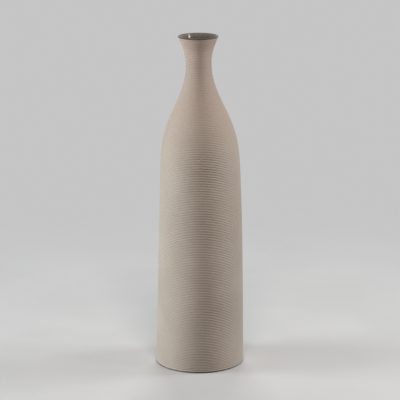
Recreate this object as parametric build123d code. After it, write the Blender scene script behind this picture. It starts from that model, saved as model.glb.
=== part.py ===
from build123d import *
import os
from math import cos, pi, radians, sin

# Bottle vase thrown in stoneware: a tall, slightly tapering wall, a soft shoulder, a waisted neck
# and a flared lip. The outside has settled a little to one side, so its rings lie on a slightly
# bowed line, and the hollow is straight. The outside is bare clay and the inside carries a coat
# of glaze that ends on the lip. Four felt pads under the foot ring keep the clay off the table.
# Millimetres, +Z up. The origin is at the middle of the foot, on the plane that the vase stands on.

# Height over all, from the plane that the vase stands on to the glaze on the lip
vase_height = 400.0

# Outline of the outside, from the foot up: each rise is measured from the level before it,
# and the tapering wall takes what the rises above it leave of the height
foot_diameter = 106.8
wall_top_diameter = 95.8
shoulder_rise = 30.0
shoulder_diameter = 88.8
slope_foot_rise = 28.0
slope_foot_diameter = 71.2
slope_top_rise = 30.0
slope_top_diameter = 44.2
throat_rise = 32.0
throat_diameter = 30.6
flare_rise = 20.0
flare_diameter = 36.6
lip_rise = 14.5
lip_diameter = 47.6
lip_lean_angle = 19.0

# Bow of the outside towards +X, largest half-way between the foot and the lip, and how many bands
# each part of the outline is turned in
bow = 1.9
wall_band_count = 6
shoulder_band_count = 14
slope_band_count = 3
neck_band_count = 24

# Thickness of the clay, and the hollow of the throat, which is straight for a short way
wall_thickness = 5.0
slope_thickness = 5.0
throat_thickness = 3.6
throat_hollow_drop = 15.0
throat_hollow_rise = 7.0
lip_thickness = 2.4
floor_thickness = 8.0

# Turned foot: a bevelled edge and a flat ring round a shallow hollow
foot_bevel = 1.5
foot_ring_width = 12.0
hollow_depth = 2.5
hollow_bevel = 2.0

# Coat of glaze inside and on the lip
glaze_thickness = 0.5

# Felt pads on the foot ring
pad_count = 4
pad_thickness = 1.5
pad_margin = 1.0
pad_first_angle = 45.0

# Levels worked out from the sizes above
foot_level = pad_thickness
hollow_level = foot_level + hollow_depth
floor_level = hollow_level + floor_thickness
lip_level = vase_height - glaze_thickness
flare_level = lip_level - lip_rise
throat_level = flare_level - flare_rise
slope_top_level = throat_level - throat_rise
slope_foot_level = slope_top_level - slope_top_rise
shoulder_level = slope_foot_level - slope_foot_rise
wall_top_level = shoulder_level - shoulder_rise

# Radii worked out from the sizes above
foot_radius = foot_diameter / 2
lip_radius = lip_diameter / 2
ring_outer_radius = foot_radius - foot_bevel
ring_inner_radius = ring_outer_radius - foot_ring_width
hollow_radius = ring_inner_radius - hollow_bevel
inner_wall_radius = wall_top_diameter / 2 - wall_thickness
pad_radius = foot_ring_width / 2 - pad_margin
pad_circle_radius = (ring_outer_radius + ring_inner_radius) / 2


def turned(edges):
    """The solid that a closed outline in (radius, height) makes when it is turned about the axis."""
    section = Plane.XZ * make_face(Curve() + edges)
    return revolve(section, Axis.Z)


def ring(radius, level):
    """Level disc with its middle on the bowed line, which meets the axis at the foot and at the lip."""
    share = (level - foot_level) / (lip_level - foot_level)
    return Plane((bow * sin(pi * share), 0, level)) * Circle(radius)


def outer_form():
    """The outside filled in: rings along the wall, the shoulder, the slope and the neck, joined by bands."""
    wall_foot = (foot_radius, foot_level + foot_bevel)
    wall_top = (wall_top_diameter / 2, wall_top_level)
    slope_foot = (slope_foot_diameter / 2, slope_foot_level)
    slope_top = (slope_top_diameter / 2, slope_top_level)
    shoulder = (shoulder_diameter / 2, shoulder_level)
    throat = (throat_diameter / 2, throat_level)
    flare = (flare_diameter / 2, flare_level)
    lip = (lip_radius, lip_level)
    lip_direction = (sin(radians(lip_lean_angle)), cos(radians(lip_lean_angle)))
    wall = Line(wall_foot, wall_top)
    slope = Line(slope_foot, slope_top)
    shoulder_curve = Spline(wall_top, shoulder, slope_foot, tangents=[wall % 1, slope % 0])
    neck_curve = Spline(slope_top, throat, flare, lip, tangents=[slope % 1, lip_direction])
    rings = [ring(ring_outer_radius, foot_level)]
    runs = [
        (wall, wall_band_count),
        (shoulder_curve, shoulder_band_count),
        (slope, slope_band_count),
        (neck_curve, neck_band_count),
    ]
    for curve, band_count in runs:
        for band in range(band_count):
            place = curve @ (band / band_count)
            rings.append(ring(place.X, place.Y))
    rings.append(ring(lip_radius, lip_level))
    return loft(rings, ruled=True)


def inner_wall(coat):
    """Inside of the clay, or of a coat of that thickness on it, from the floor's middle to the lip."""
    wall = inner_wall_radius - coat
    slope_foot = slope_foot_diameter / 2 - slope_thickness - coat
    slope_top = slope_top_diameter / 2 - slope_thickness - coat
    throat = throat_diameter / 2 - throat_thickness - coat
    return Polyline(
        (0, floor_level + coat),
        (wall, floor_level + coat),
        (wall, wall_top_level),
        (slope_foot, slope_foot_level),
        (slope_top, slope_top_level),
        (throat, throat_level - throat_hollow_drop),
        (throat, throat_level + throat_hollow_rise),
        (lip_radius - lip_thickness - coat, lip_level),
    )


def make_stoneware_body():
    """Clay body: the outer form, hollowed, with a shallow bevelled hollow under it that leaves a foot ring."""
    mouth = Polyline((lip_radius - lip_thickness, lip_level), (0, lip_level), (0, floor_level))
    hollow = turned([inner_wall(0), mouth])
    underside = turned(
        [
            Polyline(
                (0, foot_level),
                (ring_inner_radius, foot_level),
                (hollow_radius, hollow_level),
                (0, hollow_level),
                close=True,
            )
        ]
    )
    return outer_form() - hollow - underside


def make_interior_glaze():
    """Coat of glaze on the floor and the wall, and over the lip to its outer edge."""
    lip_top = lip_level + glaze_thickness
    lip = Line((lip_radius - lip_thickness, lip_level), (lip_radius, lip_level))
    lip_coat = Polyline(
        (lip_radius, lip_level),
        (lip_radius - glaze_thickness, lip_top),
        (lip_radius - lip_thickness, lip_top),
        (lip_radius - lip_thickness - glaze_thickness, lip_level),
    )
    axis = Line((0, floor_level), (0, floor_level + glaze_thickness))
    return turned([inner_wall(0), lip, lip_coat, inner_wall(glaze_thickness), axis])


def make_foot_pad(number):
    """Round felt pad on the foot ring, one of an even circle of them."""
    angle = radians(pad_first_angle + number * 360 / pad_count)
    place = Pos(pad_circle_radius * cos(angle), pad_circle_radius * sin(angle), 0)
    return place * Cylinder(pad_radius, pad_thickness, align=(Align.CENTER, Align.CENTER, Align.MIN))


pieces = {"stoneware_body": make_stoneware_body(), "interior_glaze": make_interior_glaze()}
for number in range(pad_count):
    pieces["foot_pad_%d" % (number + 1)] = make_foot_pad(number)

os.makedirs("parts", exist_ok=True)
for name, piece in pieces.items():
    export_step(piece, "parts/%s.step" % name)
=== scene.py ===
from math import cos, pi, radians, sin, tau

import bpy
import numpy as np
from mathutils import Matrix, Vector


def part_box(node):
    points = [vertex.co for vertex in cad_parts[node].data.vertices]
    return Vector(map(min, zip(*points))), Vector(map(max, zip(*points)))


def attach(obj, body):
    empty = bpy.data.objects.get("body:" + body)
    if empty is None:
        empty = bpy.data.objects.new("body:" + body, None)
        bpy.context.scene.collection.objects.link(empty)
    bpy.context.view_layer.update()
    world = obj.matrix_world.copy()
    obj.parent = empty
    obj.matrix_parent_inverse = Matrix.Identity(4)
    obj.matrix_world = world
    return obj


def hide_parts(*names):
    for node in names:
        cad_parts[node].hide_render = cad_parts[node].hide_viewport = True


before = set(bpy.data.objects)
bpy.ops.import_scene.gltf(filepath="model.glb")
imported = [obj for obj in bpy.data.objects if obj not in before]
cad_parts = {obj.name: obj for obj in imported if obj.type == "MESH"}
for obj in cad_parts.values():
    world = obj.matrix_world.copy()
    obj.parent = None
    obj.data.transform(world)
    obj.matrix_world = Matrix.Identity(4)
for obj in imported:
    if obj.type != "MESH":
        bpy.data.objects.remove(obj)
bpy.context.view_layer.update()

# Bottle vase in stoneware: bare, finely ribbed clay outside, glaze inside and on the lip,
# four felt pads under the foot ring. Metres, +Z up, the table at zero.
MM = 0.001

# Sizes read from the solids
BODY_LOW, BODY_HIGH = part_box("stoneware_body")
GLAZE_LOW, GLAZE_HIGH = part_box("interior_glaze")
HEIGHT = GLAZE_HIGH.z
FOOT_RADIUS = BODY_HIGH.x
FOOT_LEVEL = BODY_LOW.z
LIP_LEVEL = BODY_HIGH.z
FLOOR_LEVEL = GLAZE_LOW.z
COAT = HEIGHT - LIP_LEVEL

# Outline of the outside from the table to the lip: (share of the height, share of the foot's radius)
OUTLINE_SHARES = (
    (0.0, 0.997),
    (0.5875, 0.8995),
    (0.6875, 0.832),
    (0.75, 0.691),
    (0.825, 0.438),
    (0.9125, 0.2865),
    (0.9625, 0.343),
    (0.9975, 0.4457),
)
FOOT_LEAN = radians(-1.0)
LIP_LEAN = radians(19.0)

# Thickness of the clay by height: (share of the height, thickness)
THICKNESS_STATIONS = (
    (0.0, 10.3 * MM),
    (0.61, 5.0 * MM),
    (0.76, 5.0 * MM),
    (0.91, 3.6 * MM),
    (1.0, 2.2 * MM),
)

# Inside: rounding of the floor's corner, how far below the lip the plain wall ends, and its rows
FLOOR_CORNER = 14.0 * MM
INSIDE_END = 3.0 * MM
INSIDE_ROWS = 70

# Top of the clay at the lip, under the glaze
LIP_TOP_INSET = 0.8 * MM
LIP_TOP_RISE = 0.1 * MM
LIP_ROUNDING = 0.3 * MM

# Coat of glaze: how far it is sunk into the clay, and how it ends at the lip's outer edge
GLAZE_SINK = 0.2 * MM
GLAZE_OVERHANG = 0.05 * MM
GLAZE_EDGE_DROP = 0.5 * MM
GLAZE_TUCK_INSET = 0.8 * MM
GLAZE_TUCK_DROP = 0.7 * MM
GLAZE_ROUNDINGS = (0.9 * MM, 0.75 * MM, 0.1 * MM)

# Turned foot
FOOT_EDGE = 1.2 * MM
RING_WIDTH = 12.0 * MM
HOLLOW_DEPTH = 2.5 * MM
HOLLOW_BEVEL = 2.0 * MM
TRIM_ROUNDING = 0.6 * MM

# Roundings that stop a little short of the next point, so that no two points meet
FLOOR_ROUNDING = 0.99 * FLOOR_CORNER
FOOT_ROUNDING = 0.95 * FOOT_EDGE

# Turning ribs, evenly spaced along the outline
RIB_PITCH = 2.0 * MM
RIB_DEPTH = 0.8 * MM
ROWS_PER_RIB = 4
SEGMENTS = 96

# Ribs grow shallower towards the neck, to a share of their depth, between these shares of the height
NECK_RIB_SHARE = 0.5
NECK_RIB_START = 0.6
NECK_RIB_END = 0.8

# Unevenness of the ribs, as waves: (share of the depth, waves round the vase, radians along it, start)
HAND_WAVES = (
    (0.12, 2, 11.0, 0.0),
    (0.12, 3, -23.0, 1.3),
    (0.10, 1, 61.0, 0.4),
)

# Bow of the thrown wall towards +X, largest half-way between the foot and the lip
BOW = 1.9 * MM

# Felt pads
PAD_COUNT = 4
PAD_EDGE = 0.45 * MM
PAD_SEGMENTS = 48

# Clay: its two shades, colours mixed in by grain and specks, and painted shade and light at the neck, flare
# and grooves
CLAY_DARK = (0.493, 0.420, 0.355)
CLAY_PALE = (0.532, 0.459, 0.395)
# Warmer clay tone round the neck, darkened by painted shade
NECK_TONE_AND_SHADE = (0.455, 0.361, 0.309)
# Pinker clay tone at the flare, lightened by painted light where it faces down
FLARE_TONE_AND_LIGHT = (0.571, 0.440, 0.369)
CLAY_GRAIN = (0.36, 0.29, 0.23)
CLAY_SPECK = (0.20, 0.14, 0.10)
# Painted shade in the grooves
GROOVE_SHADE = (0.24, 0.185, 0.14)

# Largest share of each colour that is mixed in
NECK_TONE_AND_SHADE_SHARE = 0.8
GRAIN_TINT = 0.10
SPECK_TINT = 0.25
GROOVE_SHADE_SHARE = 0.20

# Where the tints of the neck and the flare begin and are full, as shares of the height
NECK_TONE_AND_SHADE_SPAN = (0.60, 0.85)
FLARE_TONE_AND_LIGHT_SPAN = (0.91, 0.96)

# Glaze: two shades by the rim, two darker ones deeper in that are painted shade, and the brown of the lip's
# outer edge
GLAZE_RIM_DARK = (0.165, 0.150, 0.124)
GLAZE_RIM_PALE = (0.215, 0.198, 0.166)
GLAZE_SHADED_DARK = (0.042, 0.032, 0.024)
GLAZE_SHADED_PALE = (0.064, 0.050, 0.038)
GLAZE_EDGE = (0.085, 0.062, 0.045)

# How far in from the lip the edge's brown begins and is full, and how far below the top the rim's colour
# begins over the painted shade and is full
GLAZE_EDGE_SPAN = (1.4 * MM, 0.5 * MM)
GLAZE_SHADE_SPAN = (9.5 * MM, 0.5 * MM)

# Felt
FELT_DARK = (0.020, 0.018, 0.016)
FELT_PALE = (0.075, 0.068, 0.060)

# Roughness of each surface, between the two ends of its noise
CLAY_ROUGHNESS = (0.80, 0.95)
GLAZE_ROUGHNESS = (0.12, 0.19)
FELT_ROUGHNESS = (1.0, 0.9)

# Noise scales, in cells per metre, and the middle part of a noise's range that is used
CLOUD_SCALE = 22.0
GRAIN_SCALE = 1400.0
SPECK_SCALE = 700.0
CLAY_BUMP_SCALE = 2200.0
RUN_SCALE = 260.0
RUN_STRETCH = (1.0, 1.0, 0.12)
GLOSS_SCALE = 90.0
GLAZE_BUMP_SCALE = 160.0
FIBRE_SCALE = 2600.0
FELT_BUMP_SCALE = 1800.0
FLOOR_SCALE = 6.0
NOISE_RANGE = (0.3, 0.7)
SPECK_RANGE = (0.70, 0.76)

# Floor that fades away between two distances, the colour that light bounces off it with, and the backdrop
FLOOR_RADIUS = 1.0
FLOOR_SEGMENTS = 96
FLOOR_FADE = (0.25, 0.80)
FLOOR_DARK = (0.60, 0.60, 0.60)
FLOOR_PALE = (0.64, 0.64, 0.64)
FLOOR_BOUNCE = (0.2, 0.2, 0.2)
BACKDROP = (0.56, 0.56, 0.56)
AMBIENT = 0.1

# Lamps
LAMP_DISTANCE = 1.6
KEY_COLOUR = (0.88, 0.965, 1.0)
SIDE_COLOUR = (0.94, 0.985, 1.0)
FILL_COLOUR = (1.0, 0.915, 0.86)

# Camera: place, tilt, roll and pan, with the lens for a square picture
CAMERA_PLACE = (0.0, -2.08, 0.7228)
CAMERA_TILT = radians(14.0765)
CAMERA_ROLL = radians(-0.27)
CAMERA_PAN = radians(-0.036)
SENSOR_WIDTH = 36.0
LENS = 160.86

# Name of the UV map
BAKE_MAP = "OFBake"


def smooth_curve(points, start, end, steps):
    """Points along the cubic spline through points, with a given direction at each end."""
    points = np.array(points)
    chords = np.linalg.norm(np.diff(points, axis=0), axis=1)
    count = len(points)
    system = np.eye(count)
    right = np.zeros((count, 2))
    right[0] = start
    right[-1] = end
    for i in range(1, count - 1):
        before, after = chords[i - 1], chords[i]
        system[i, i - 1 : i + 2] = after, 2 * (before + after), before
        rise_before = (points[i] - points[i - 1]) / before
        rise_after = (points[i + 1] - points[i]) / after
        right[i] = 3 * (after * rise_before + before * rise_after)
    slopes = np.linalg.solve(system, right)
    spans = []
    share = np.linspace(0, 1, steps)[:, None]
    for i in range(count - 1):
        square, cube = share**2, share**3
        spans.append(
            (2 * cube - 3 * square + 1) * points[i]
            + (3 * square - 2 * cube) * points[i + 1]
            + (cube - 2 * square + share) * chords[i] * slopes[i]
            + (cube - square) * chords[i] * slopes[i + 1]
        )
    return np.concatenate([spans[0]] + [span[1:] for span in spans[1:]])


def by_length(path, lengths):
    """Points of a path at the given lengths along it."""
    steps = np.linalg.norm(np.diff(path, axis=0), axis=1)
    at = np.concatenate([[0], np.cumsum(steps)])
    return np.stack([np.interp(lengths, at, path[:, axis]) for axis in (0, 1)], 1)


def path_length(path):
    return np.linalg.norm(np.diff(path, axis=0), axis=1).sum()


def rounded(points, radii, steps=5):
    """The polyline through points, with each inner corner eased over the given distance."""
    made = [np.array(points[0])]
    for before, corner, after, radius in zip(points, points[1:], points[2:], radii):
        before, corner, after = np.array(before), np.array(corner), np.array(after)
        enter = corner + (before - corner) * radius / np.linalg.norm(before - corner)
        leave = corner + (after - corner) * radius / np.linalg.norm(after - corner)
        for share in np.linspace(0, 1, steps):
            made.append(enter * (1 - share) ** 2 + corner * 2 * share * (1 - share) + leave * share**2)
    made.append(np.array(points[-1]))
    return np.array(made)


def outline():
    """Fine points of the outside, (radius, height), from the table plane to the lip."""
    stations = [(radius * FOOT_RADIUS, height * HEIGHT) for height, radius in OUTLINE_SHARES]
    start = (sin(FOOT_LEAN), cos(FOOT_LEAN))
    end = (sin(LIP_LEAN), cos(LIP_LEAN))
    return smooth_curve(stations, start, end, steps=80)


OUTLINE = outline()
LIP_RADIUS, LIP_HEIGHT = OUTLINE[-1]


def outer_radius(height):
    return np.interp(height, OUTLINE[:, 1], OUTLINE[:, 0])


def thickness(height):
    heights, sizes = zip(*THICKNESS_STATIONS)
    return np.interp(height / HEIGHT, heights, sizes)


def inner_path(coat):
    """Inside of the clay, or of a coat on it, from the middle of the floor to near the lip."""
    floor = FLOOR_LEVEL + coat
    heights = np.linspace(floor + FLOOR_CORNER, LIP_LEVEL - INSIDE_END, INSIDE_ROWS)
    wall = np.stack([outer_radius(heights) - thickness(heights) - coat, heights], 1)
    corner = (outer_radius(floor) - thickness(floor) - coat, floor)
    bottom = rounded([(0, floor), corner, tuple(wall[0])], [FLOOR_ROUNDING], steps=9)
    return np.concatenate([bottom[:-1], wall])


def ribbed_wall():
    """Rows of the outside from the foot's edge to the lip, with the ribs' shift and depth at each."""
    low = FOOT_LEVEL + FOOT_EDGE
    path = OUTLINE[OUTLINE[:, 1] > low]
    path = np.concatenate([[(outer_radius(low), low)], path])
    length = path_length(path)
    ribs = round(length / RIB_PITCH)
    count = ribs * ROWS_PER_RIB + 1
    rows = by_length(path, np.linspace(0, length, count))
    along = np.gradient(rows, axis=0)
    along /= np.linalg.norm(along, axis=1)[:, None]
    outward = np.stack([along[:, 1], -along[:, 0]], 1)
    groove = 0.5 - 0.5 * np.cos(tau * np.arange(count) / ROWS_PER_RIB)
    neck = np.clip((rows[:, 1] / HEIGHT - NECK_RIB_START) / (NECK_RIB_END - NECK_RIB_START), 0, 1)
    depth = RIB_DEPTH * (1 + (NECK_RIB_SHARE - 1) * neck * neck * (3 - 2 * neck))
    return rows, -outward * (groove * depth)[:, None], groove


def hand_work(angle, share):
    """How much deeper or shallower a rib is than the usual, by angle and place along the outline."""
    return 1 + sum(
        size * np.sin(around * angle + along * share + start)
        for size, around, along, start in HAND_WAVES
    )


def bow(height):
    return BOW * np.sin(pi * (height - FOOT_LEVEL) / (LIP_LEVEL - FOOT_LEVEL))


def lathe(name, profile, material, shift=None, groove=None, segments=SEGMENTS):
    """Closed mesh of a profile of (radius, height) that starts and ends on the axis, turned and bowed."""
    rows = len(profile)
    angles = np.arange(segments) * tau / segments
    shift = np.zeros((rows, 2)) if shift is None else shift
    steps = np.linalg.norm(np.diff(profile, axis=0), axis=1)
    along = np.concatenate([[0], np.cumsum(steps)]) / steps.sum()
    uneven = hand_work(angles[None, :], along[:, None])
    radius = profile[:, 0][:, None] + shift[:, 0][:, None] * uneven
    height = profile[:, 1][:, None] + shift[:, 1][:, None] * uneven
    points = np.stack([radius * np.cos(angles) + bow(height), radius * np.sin(angles), height], 2)
    rings = points[1:-1].reshape(-1, 3)
    poles = np.array([(bow(profile[i, 1]), 0, profile[i, 1]) for i in (0, -1)])
    vertices = np.concatenate([poles, rings])

    here = np.arange(segments)
    after = (here + 1) % segments
    ring = 2 + np.arange(rows - 2)[:, None] * segments
    low, high = ring[:-1], ring[1:]
    quads = np.stack([low + here, low + after, high + after, high + here], 2).reshape(-1, 4)
    first = [(0, int(b), int(a)) for a, b in zip(ring[0] + here, ring[0] + after)]
    last = [(1, int(a), int(b)) for a, b in zip(ring[-1] + here, ring[-1] + after)]
    mesh = bpy.data.meshes.new(name)
    mesh.from_pydata(vertices.tolist(), [], quads.tolist() + first + last)
    mesh.polygons.foreach_set("use_smooth", np.ones(len(mesh.polygons), bool))

    across = np.arange(segments + 1) / segments
    u = np.stack([across[:-1], across[1:], across[1:], across[:-1]], 1)
    u = np.broadcast_to(u, (rows - 3, segments, 4))
    v = np.stack([along[1:-2], along[1:-2], along[2:-1], along[2:-1]], 1)
    v = np.broadcast_to(v[:, None, :], (rows - 3, segments, 4))
    sides = np.stack([u, v], 3).reshape(-1, 2)
    middle = (across[:-1] + across[1:]) / 2
    caps = []
    for pole, near, order in ((0, 1, (1, 0)), (-1, -2, (0, 1))):
        ends = (across[:-1], across[1:])
        for i in range(segments):
            caps.append((middle[i], along[pole]))
            caps.append((ends[order[0]][i], along[near]))
            caps.append((ends[order[1]][i], along[near]))
    chart = mesh.uv_layers.new(name=BAKE_MAP)
    chart.uv.foreach_set("vector", np.concatenate([sides, caps]).astype(np.float32).ravel())

    # Depth share of the grooves, which the clay's material uses for painted shade
    if groove is not None:
        depth = np.repeat(groove[1:-1, None], segments, 1) * uneven[1:-1]
        values = np.concatenate([[0, 0], depth.ravel()]).astype(np.float32)
        mesh.attributes.new("groove", "FLOAT", "POINT").data.foreach_set("value", values)
    mesh.validate()
    piece = bpy.data.objects.new(name, mesh)
    bpy.context.scene.collection.objects.link(piece)
    mesh.materials.append(material)
    return piece


class Nodes:
    """A material's node tree, with short calls to add a node and to join two sockets."""

    def __init__(self, name):
        self.material = bpy.data.materials.new(name)
        self.material.use_nodes = True
        self.tree = self.material.node_tree
        self.shader = self.tree.nodes["Principled BSDF"]
        self.output = self.tree.nodes["Material Output"]

    def add(self, kind, values=None, **settings):
        node = self.tree.nodes.new("ShaderNode" + kind)
        for key, value in settings.items():
            setattr(node, key, value)
        for key, value in (values or {}).items():
            node.inputs[key].default_value = value
        return node

    def join(self, output, target):
        self.tree.links.new(output, target)

    def noise(self, source, scale, detail=3.0, roughness=0.5):
        node = self.add("TexNoise", {"Scale": scale, "Detail": detail, "Roughness": roughness})
        self.join(source, node.inputs["Vector"])
        return node.outputs["Fac"]

    def spread(self, source, low, high, to_low=0.0, to_high=1.0):
        """source taken from the range low to high to another, held at its ends."""
        values = {"From Min": low, "From Max": high, "To Min": to_low, "To Max": to_high}
        node = self.add("MapRange", values, interpolation_type="SMOOTHSTEP")
        self.join(source, node.inputs["Value"])
        return node.outputs["Result"]

    def mix(self, share, first, second):
        """Colour between two, each a colour or a socket."""
        node = self.add("Mix", data_type="RGBA")
        self.join(share, node.inputs["Factor"])
        for key, value in ((6, first), (7, second)):
            if isinstance(value, tuple):
                node.inputs[key].default_value = (*value, 1)
            else:
                self.join(value, node.inputs[key])
        return node.outputs[2]


def stoneware():
    """Bare matte clay: grain, specks, painted shade round the warmer neck and in the grooves, painted light
    on the pinker flare.
    """
    n = Nodes("stoneware")
    place = n.add("TexCoord").outputs["Object"]
    split = n.add("SeparateXYZ")
    n.join(place, split.inputs[0])
    neck_start, neck_end = (share * HEIGHT for share in NECK_TONE_AND_SHADE_SPAN)
    flare_start, flare_end = (share * HEIGHT for share in FLARE_TONE_AND_LIGHT_SPAN)
    # Painted shade and a warmer clay tone round the neck
    neck = n.spread(split.outputs["Z"], neck_start, neck_end, 0.0, NECK_TONE_AND_SHADE_SHARE)
    # Painted light and a pinker clay tone at the flare
    flare = n.spread(split.outputs["Z"], flare_start, flare_end)
    cloud = n.spread(n.noise(place, CLOUD_SCALE, detail=4.0), *NOISE_RANGE)
    grain = n.spread(n.noise(place, GRAIN_SCALE), *NOISE_RANGE)
    specks = n.spread(n.noise(place, SPECK_SCALE, detail=1.0), *SPECK_RANGE)
    clay = n.mix(cloud, CLAY_DARK, CLAY_PALE)
    clay = n.mix(neck, clay, NECK_TONE_AND_SHADE)
    clay = n.mix(flare, clay, FLARE_TONE_AND_LIGHT)
    clay = n.mix(n.spread(grain, 0, 1, GRAIN_TINT, 0.0), clay, CLAY_GRAIN)
    clay = n.mix(n.spread(specks, 0, 1, 0.0, SPECK_TINT), clay, CLAY_SPECK)
    # Painted shade in the grooves, by each groove's depth share
    groove = n.add("Attribute", attribute_name="groove", attribute_type="GEOMETRY").outputs["Fac"]
    clay = n.mix(n.spread(groove, 0, 1, 0.0, GROOVE_SHADE_SHARE), clay, GROOVE_SHADE)
    n.join(clay, n.shader.inputs["Base Color"])
    n.join(n.spread(grain, 0, 1, *CLAY_ROUGHNESS), n.shader.inputs["Roughness"])
    n.shader.inputs["Specular IOR Level"].default_value = 0.25
    bump = n.add("Bump", {"Strength": 0.35, "Distance": 0.06 * MM})
    n.join(n.noise(place, CLAY_BUMP_SCALE, detail=4.0), bump.inputs["Height"])
    n.join(bump.outputs["Normal"], n.shader.inputs["Normal"])
    return n.material


def glaze():
    """Glossy glaze: grey-green by the rim, darkened deeper in by painted shade, dark brown on the lip's
    edge, with faint runs.
    """
    n = Nodes("glaze")
    place = n.add("TexCoord").outputs["Object"]
    split = n.add("SeparateXYZ")
    n.join(place, split.inputs[0])
    stretch = n.add("Mapping", {"Scale": RUN_STRETCH})
    n.join(place, stretch.inputs["Vector"])
    runs = n.spread(n.noise(stretch.outputs["Vector"], RUN_SCALE), *NOISE_RANGE)
    flatten = n.add("Mapping", {"Scale": (1.0, 1.0, 0.0)})
    n.join(place, flatten.inputs["Vector"])
    radius = n.add("VectorMath", operation="LENGTH")
    n.join(flatten.outputs["Vector"], radius.inputs[0])
    edge_start, edge_end = (LIP_RADIUS - inset for inset in GLAZE_EDGE_SPAN)
    rim_start, rim_end = (HEIGHT - drop for drop in GLAZE_SHADE_SPAN)
    edge = n.spread(radius.outputs["Value"], edge_start, edge_end)
    rim = n.spread(split.outputs["Z"], rim_start, rim_end)
    upper = n.mix(runs, GLAZE_RIM_DARK, GLAZE_RIM_PALE)
    upper = n.mix(edge, upper, GLAZE_EDGE)
    # Painted shade: the glaze darker deeper in the mouth
    shaded_glaze = n.mix(runs, GLAZE_SHADED_DARK, GLAZE_SHADED_PALE)
    n.join(n.mix(rim, shaded_glaze, upper), n.shader.inputs["Base Color"])
    gloss = n.spread(n.noise(place, GLOSS_SCALE), *NOISE_RANGE, *GLAZE_ROUGHNESS)
    n.join(gloss, n.shader.inputs["Roughness"])
    n.shader.inputs["Specular IOR Level"].default_value = 0.4
    bump = n.add("Bump", {"Strength": 0.08, "Distance": 0.2 * MM})
    n.join(n.noise(place, GLAZE_BUMP_SCALE, detail=2.0), bump.inputs["Height"])
    n.join(bump.outputs["Normal"], n.shader.inputs["Normal"])
    return n.material


def felt():
    """Dark pressed felt with a fine tangle of fibres."""
    n = Nodes("felt")
    place = n.add("TexCoord").outputs["Object"]
    fibres = n.spread(n.noise(place, FIBRE_SCALE, detail=5.0, roughness=0.7), *NOISE_RANGE)
    n.join(n.mix(fibres, FELT_DARK, FELT_PALE), n.shader.inputs["Base Color"])
    n.join(n.spread(fibres, 0, 1, *FELT_ROUGHNESS), n.shader.inputs["Roughness"])
    n.shader.inputs["Sheen Weight"].default_value = 0.4
    bump = n.add("Bump", {"Strength": 0.6, "Distance": 0.15 * MM})
    n.join(n.noise(place, FELT_BUMP_SCALE, detail=5.0, roughness=0.7), bump.inputs["Height"])
    n.join(bump.outputs["Normal"], n.shader.inputs["Normal"])
    return n.material


def make_body(material):
    """Ribbed clay wall on a turned foot ring, with a rounded lip under the glaze and a plain inside."""
    ring_inner = FOOT_RADIUS - FOOT_EDGE - RING_WIDTH
    hollow = FOOT_LEVEL + HOLLOW_DEPTH
    rows, shift, groove = ribbed_wall()
    corners = [
        (0, hollow),
        (ring_inner - HOLLOW_BEVEL, hollow),
        (ring_inner, FOOT_LEVEL),
        (rows[0, 0], FOOT_LEVEL),
        tuple(rows[0]),
    ]
    underside = rounded(corners, [TRIM_ROUNDING, TRIM_ROUNDING, FOOT_ROUNDING])[:-1]
    inside = inner_path(0)[::-1]
    lip_top = rows[-1] + (-LIP_TOP_INSET, LIP_TOP_RISE)
    lip = rounded([tuple(rows[-1]), tuple(lip_top), tuple(inside[0])], [LIP_ROUNDING])[1:-1]
    profile = np.concatenate([underside, rows, lip, inside])
    ribbed = slice(len(underside), len(underside) + len(rows))
    shifts = np.zeros((len(profile), 2))
    shifts[ribbed] = shift
    grooves = np.zeros(len(profile))
    grooves[ribbed] = groove
    return lathe("stoneware_wall", profile, material, shifts, grooves)


def make_glaze(material):
    """Coat of glaze on the inside, over the lip's crest and down to its outer edge."""
    inside = inner_path(COAT)
    corners = [
        tuple(inside[-1]),
        (LIP_RADIUS - thickness(HEIGHT), HEIGHT),
        (LIP_RADIUS + GLAZE_OVERHANG, HEIGHT),
        (LIP_RADIUS - GLAZE_OVERHANG, LIP_HEIGHT - GLAZE_EDGE_DROP),
        (LIP_RADIUS - GLAZE_TUCK_INSET, LIP_HEIGHT - GLAZE_TUCK_DROP),
    ]
    crest = rounded(corners, GLAZE_ROUNDINGS, steps=6)
    hidden = inner_path(-GLAZE_SINK)[::-1]
    profile = np.concatenate([inside[:-1], crest, hidden])
    return lathe("interior_coat", profile[::-1], material)


def make_pad(number, material):
    """Round felt pad with soft edges, in the place of its solid."""
    low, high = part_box("foot_pad_%d" % number)
    middle = (low + high) / 2
    radius = (high.x - low.x) / 2
    corners = [(0, low.z), (radius, low.z), (radius, high.z), (0, high.z)]
    profile = rounded(corners, [PAD_EDGE, PAD_EDGE], steps=6)
    piece = lathe("felt_pad_%d" % number, profile, material, segments=PAD_SEGMENTS)
    piece.data.transform(Matrix.Translation((middle.x - bow(middle.z), middle.y, 0)))
    return piece


def build_vase():
    clay, coat, pad = stoneware(), glaze(), felt()
    body = make_body(clay)
    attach(body, "root")
    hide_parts("stoneware_body")
    inside = make_glaze(coat)
    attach(inside, "root")
    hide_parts("interior_glaze")
    for number in range(1, PAD_COUNT + 1):
        piece = make_pad(number, pad)
        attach(piece, "root")
        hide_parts("foot_pad_%d" % number)


def build_camera():
    data = bpy.data.cameras.new("camera")
    data.sensor_width = SENSOR_WIDTH
    data.lens = LENS
    camera = bpy.data.objects.new("camera", data)
    camera.location = CAMERA_PLACE
    turns = ((CAMERA_PAN, "Z"), (pi / 2 - CAMERA_TILT, "X"), (CAMERA_ROLL, "Z"))
    pan, tilt, roll = (Matrix.Rotation(angle, 3, axis) for angle, axis in turns)
    camera.rotation_euler = (pan @ tilt @ roll).to_euler()
    bpy.context.scene.collection.objects.link(camera)
    bpy.context.scene.camera = camera


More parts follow.
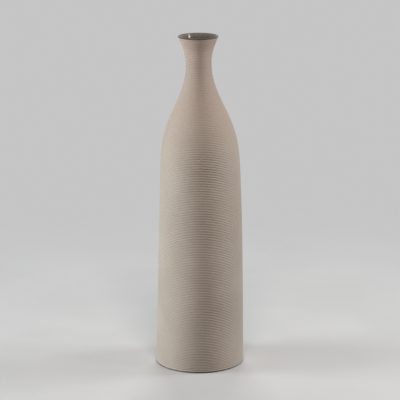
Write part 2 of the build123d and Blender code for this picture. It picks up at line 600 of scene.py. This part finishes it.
def softbox(name, azimuth, elevation, size, power, colour=(1, 1, 1)):
    """Rectangular lamp that faces the vase's middle; azimuth 0 is the camera's side, 90 the right."""
    data = bpy.data.lights.new(name, "AREA")
    data.shape = "RECTANGLE"
    data.size, data.size_y = size
    data.energy = power
    data.color = colour
    lamp = bpy.data.objects.new(name, data)
    turn, lift = radians(azimuth), radians(elevation)
    flat = LAMP_DISTANCE * cos(lift)
    aim = Vector((0, 0, HEIGHT / 2))
    lamp.location = aim + Vector((flat * sin(turn), -flat * cos(turn), LAMP_DISTANCE * sin(lift)))
    lamp.rotation_euler = (aim - lamp.location).to_track_quat("-Z", "Y").to_euler()
    lamp.visible_camera = False
    bpy.context.scene.collection.objects.link(lamp)
    return lamp


def build_light():
    """Broad soft lamps that leave no mirror image on the glaze, and a small one that makes its highlight."""
    broad = [
        softbox("key", azimuth=-87, elevation=4, size=(0.6, 0.6), power=27.5, colour=KEY_COLOUR),
        softbox("side", azimuth=97, elevation=12, size=(0.6, 0.8), power=15.5, colour=SIDE_COLOUR),
        softbox("fill", azimuth=3, elevation=52, size=(0.6, 0.6), power=12.8, colour=FILL_COLOUR),
        softbox("back", azimuth=180, elevation=45, size=(0.6, 0.6), power=9),
    ]
    for lamp in broad:
        lamp.visible_glossy = False
    softbox("spark", azimuth=69, elevation=39, size=(0.20, 0.05), power=1.9)


def seen_rays(tree):
    """1 for what the camera sees, straight, in a reflection or through glass, and 0 for light on its way."""
    rays = tree.nodes.new("ShaderNodeLightPath")
    total = rays.outputs["Is Camera Ray"]
    for name in ("Is Glossy Ray", "Is Transmission Ray"):
        both = tree.nodes.new("ShaderNodeMath")
        both.operation = "MAXIMUM"
        tree.links.new(total, both.inputs[0])
        tree.links.new(rays.outputs[name], both.inputs[1])
        total = both.outputs[0]
    return total


def build_floor():
    """Pale floor that fades into the backdrop, and that gives back less light than it shows."""
    n = Nodes("floor")
    place = n.add("TexCoord").outputs["Object"]
    grain = n.spread(n.noise(place, FLOOR_SCALE), *NOISE_RANGE)
    shown = n.mix(grain, FLOOR_DARK, FLOOR_PALE)
    n.join(n.mix(seen_rays(n.tree), FLOOR_BOUNCE, shown), n.shader.inputs["Base Color"])
    n.shader.inputs["Roughness"].default_value = 1.0
    n.shader.inputs["Specular IOR Level"].default_value = 0.0
    length = n.add("VectorMath", operation="LENGTH")
    n.join(place, length.inputs[0])
    fade = n.spread(length.outputs["Value"], *FLOOR_FADE)
    clear = n.add("BsdfTransparent")
    blend = n.add("MixShader")
    n.join(fade, blend.inputs["Fac"])
    n.join(n.shader.outputs[0], blend.inputs[1])
    n.join(clear.outputs[0], blend.inputs[2])
    n.join(blend.outputs[0], n.output.inputs["Surface"])
    bpy.ops.mesh.primitive_circle_add(vertices=FLOOR_SEGMENTS, radius=FLOOR_RADIUS, fill_type="NGON")
    floor = bpy.context.object
    floor.name = "floor"
    floor.data.materials.append(n.material)


def build_backdrop():
    """Plain backdrop that the camera and reflections see, and a dimmer even light for the rest."""
    world = bpy.data.worlds.new("backdrop")
    bpy.context.scene.world = world
    world.use_nodes = True
    tree = world.node_tree
    plain = tree.nodes["Background"]
    plain.inputs["Color"].default_value = (1, 1, 1, 1)
    plain.inputs["Strength"].default_value = AMBIENT
    shown = tree.nodes.new("ShaderNodeBackground")
    shown.inputs["Color"].default_value = (*BACKDROP, 1)
    shown.inputs["Strength"].default_value = 1.0
    both = tree.nodes.new("ShaderNodeMixShader")
    tree.links.new(seen_rays(tree), both.inputs["Fac"])
    tree.links.new(plain.outputs[0], both.inputs[1])
    tree.links.new(shown.outputs[0], both.inputs[2])
    tree.links.new(both.outputs[0], tree.nodes["World Output"].inputs["Surface"])


build_vase()
build_floor()
build_backdrop()
build_light()
build_camera()
bpy.context.scene.view_settings.view_transform = "Standard"
